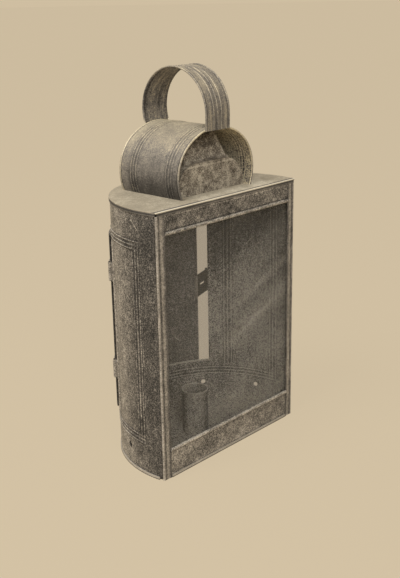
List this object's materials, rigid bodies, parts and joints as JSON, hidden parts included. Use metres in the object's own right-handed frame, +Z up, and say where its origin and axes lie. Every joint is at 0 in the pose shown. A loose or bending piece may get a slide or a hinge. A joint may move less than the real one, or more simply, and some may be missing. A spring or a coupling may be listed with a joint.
{
  "type": "hand lantern",
  "caption": "Half-round sheet-tin candle lantern with a glass front, a curved rear door with a hasp, a vented hood and a strap handle.",
  "frame": {"origin": "on the surface that the lantern stands on, at the centre of the curved wall's arc", "axes": "+Z up; the glass front faces -Y and the door is at +Y; +X to the right as the glass is faced"},
  "size_m": [0.1966, 0.1322, 0.3676],
  "materials": {
    "tin_wall": "dull aged tinplate, mottled",
    "tin_pale": "dull pale tinplate",
    "tin_edge": "tinplate rubbed bright at the folds",
    "tin_dark": "dark tarnished tinplate",
    "tin_soot": "rusty and sooty sheet",
    "wire": "dull iron wire",
    "pane": "old clear glass, lightly scratched"
  },
  "bodies": {
    "lantern": {"body_wall": "tin_wall", "bottom_plate": "tin_wall", "top_plate": "tin_pale", "left_stile": "tin_edge", "right_stile": "tin_edge", "top_rail": "tin_wall", "bottom_rail": "tin_wall", "glass_pane": "pane", "candle_socket": "tin_dark", "hood": "tin_wall", "flue_box": "tin_soot", "flue_neck": "tin_soot", "handle_strap": "tin_wall", "upper_hinge_strap": "tin_edge", "lower_hinge_strap": "tin_edge", "upper_hinge_pin": "wire", "lower_hinge_pin": "wire", "hasp_staple": "wire"},
    "door": {"door_leaf": "tin_dark", "upper_door_strap": "tin_edge", "lower_door_strap": "tin_edge", "hasp_pin": "wire"},
    "hasp": {"hasp_plate": "tin_dark"}
  },
  "joints": [
    {"name": "door_hinge", "type": "hinge", "parent": "lantern", "child": "door", "pos_m": [-0.07203, 0.06835, 0.1315], "axis": [0, 0, 1], "range_deg": [-9, 120]},
    {"name": "hasp_hinge", "type": "hinge", "parent": "door", "child": "hasp", "pos_m": [0.06872, 0.09173, 0.1255], "axis": [0, 0, 1], "range_deg": [-63, 107]}
  ]
}
